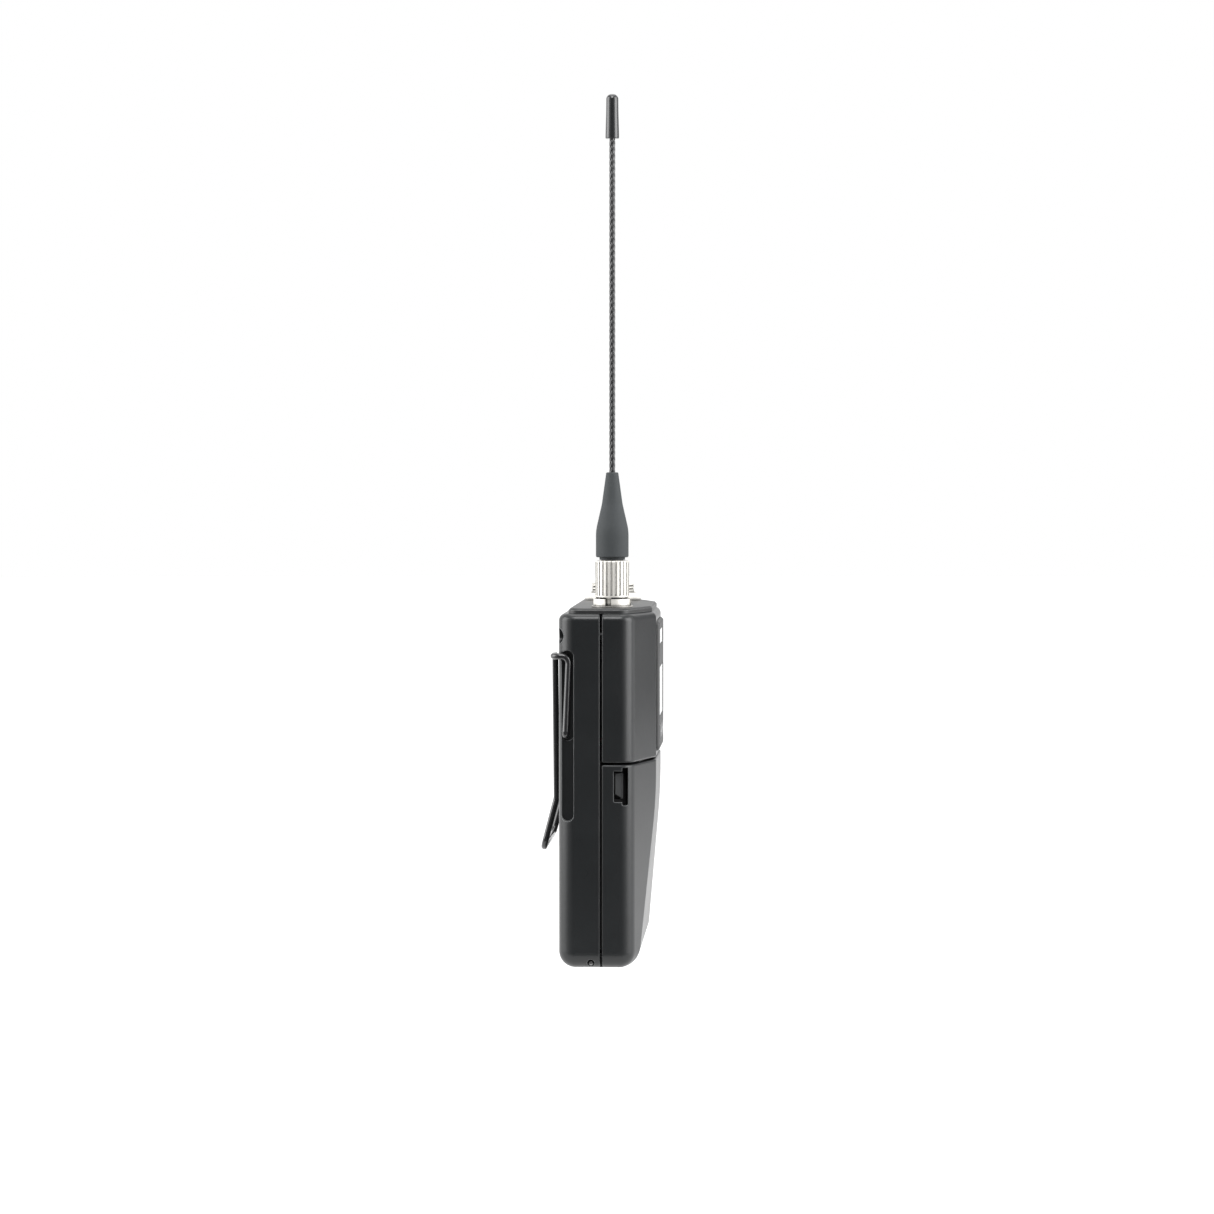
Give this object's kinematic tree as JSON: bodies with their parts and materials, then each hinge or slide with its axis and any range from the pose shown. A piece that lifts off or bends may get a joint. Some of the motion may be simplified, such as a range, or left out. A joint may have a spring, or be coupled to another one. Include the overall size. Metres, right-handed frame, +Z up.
{
  "type": "wireless bodypack transmitter",
  "caption": "Belt-worn wireless microphone transmitter with a hinged battery door, wire belt clip, screw-on whip antenna and locking microphone connector.",
  "frame": {"origin": "under the middle of the whole object's bounding box, on the plane the case stands on", "axes": "+Z up along the antenna, +X across the width toward the microphone connector, -Y is the side with the display and battery door, +Y the side with the belt clip"},
  "size_m": [0.066, 0.029, 0.2103],
  "materials": {
    "housing": "matte",
    "deck": "satin",
    "panel_grey": "matte",
    "window": "gloss",
    "smoked_gloss": "gloss",
    "display": "satin",
    "keycap": "satin",
    "circuit_board": "satin",
    "tinned_can": "satin",
    "chip_black": "matte",
    "coax_black": "matte",
    "lead_red": "matte",
    "chassis": "matte",
    "cell_can": "satin",
    "contact_metal": "polished",
    "steel_screw": "polished",
    "foam": "matte",
    "clip_black": "gloss",
    "nickel": "polished",
    "insulator_white": "satin",
    "insulator_dark": "satin",
    "gold": "polished",
    "led_lens": "gloss",
    "boot_rubber": "matte",
    "whip_black": "satin",
    "tip_black": "gloss"
  },
  "bodies": {
    "case": {"rear_housing": "housing", "front_housing": "housing", "top_plate": "deck", "case_screws": "steel_screw", "hinge_pins": "steel_screw", "front_panel": "panel_grey", "display_window": "window", "sync_window": "smoked_gloss", "lcd_module": "display", "tact_switches": "chip_black", "main_pcb": "circuit_board", "pcb_screws": "steel_screw", "rf_shield": "tinned_can", "pcb_components": "chip_black", "antenna_lead": "coax_black", "mic_leads": "lead_red", "battery_leads": "lead_red", "switch_body": "tinned_can", "status_led": "led_lens", "battery_tray": "chassis", "cell_upper": "cell_can", "cell_lower": "cell_can", "contact_plates": "contact_metal", "contact_springs": "contact_metal", "clip_arm_left": "clip_black", "clip_arm_right": "clip_black", "latch_spring_left": "contact_metal", "latch_spring_right": "contact_metal", "sma_jack": "nickel", "sma_dielectric": "insulator_white", "sma_contact": "gold", "sma_washer": "nickel", "sma_ring_nut": "nickel", "mic_shell": "nickel", "mic_insert": "insulator_dark", "mic_pins": "gold", "mic_washer": "nickel", "mic_nut": "nickel"},
    "battery_door": {"battery_door": "housing", "door_pad": "foam"},
    "latch_left": {"latch_left": "keycap"},
    "latch_right": {"latch_right": "keycap"},
    "power_switch": {"power_knob": "keycap"},
    "button_menu": {"button_menu": "keycap"},
    "button_up": {"button_up": "keycap"},
    "button_down": {"button_down": "keycap"},
    "button_set": {"button_set": "keycap"},
    "clip_tongue": {"clip_tongue": "clip_black"},
    "antenna": {"antenna_boot": "boot_rubber", "antenna_whip": "whip_black", "antenna_tip": "tip_black", "antenna_ferrule": "nickel", "antenna_insulator": "insulator_white", "antenna_pin": "gold"},
    "coupling_nut": {"coupling_nut": "nickel"}
  },
  "joints": [
    {"name": "door_hinge", "type": "hinge", "parent": "case", "child": "battery_door", "pos_m": [0, 0.0014, 0.0014], "axis": [1, 0, 0], "range_deg": [0, 105]},
    {"name": "latch_left_press", "type": "slide", "parent": "case", "child": "latch_left", "axis": [1, 0, 0], "range_m": [0, 0.0012], "stiffness_N_per_m": 300, "springref_m": -0.0006, "deforming": ["latch_spring_left"]},
    {"name": "latch_right_press", "type": "slide", "parent": "case", "child": "latch_right", "axis": [-1, 0, 0], "range_m": [0, 0.0012], "stiffness_N_per_m": 300, "springref_m": -0.0006, "deforming": ["latch_spring_right"]},
    {"name": "power_slide", "type": "slide", "parent": "case", "child": "power_switch", "axis": [1, 0, 0], "range_m": [0, 0.003]},
    {"name": "button_menu_press", "type": "slide", "parent": "case", "child": "button_menu", "axis": [0, 1, 0], "range_m": [0, 0.0004], "stiffness_N_per_m": 400, "springref_m": -0.0006},
    {"name": "button_up_press", "type": "slide", "parent": "case", "child": "button_up", "axis": [0, 1, 0], "range_m": [0, 0.0004], "stiffness_N_per_m": 400, "springref_m": -0.0006},
    {"name": "button_down_press", "type": "slide", "parent": "case", "child": "button_down", "axis": [0, 1, 0], "range_m": [0, 0.0004], "stiffness_N_per_m": 400, "springref_m": -0.0006},
    {"name": "button_set_press", "type": "slide", "parent": "case", "child": "button_set", "axis": [0, 1, 0], "range_m": [0, 0.0004], "stiffness_N_per_m": 400, "springref_m": -0.0006},
    {"name": "clip_flex", "type": "hinge", "parent": "case", "child": "clip_tongue", "pos_m": [0, 0.01045, 0.0753], "axis": [1, 0, 0], "range_deg": [0, 12], "stiffness_Nm_per_rad": 3, "springref_deg": -1.72},
    {"name": "antenna_lift", "type": "slide", "parent": "case", "child": "antenna", "axis": [0, 0, 1], "range_m": [0, 0.00423]},
    {"name": "nut_turn", "type": "hinge", "parent": "antenna", "child": "coupling_nut", "pos_m": [-0.024, -0.00335, 0.0935], "axis": [0, 0, 1], "range_deg": [0, 2160]}
  ],
  "couplings": [
    {"joint": "nut_turn", "follows": "antenna_lift", "rad_per_m": 8904.7}
  ]
}
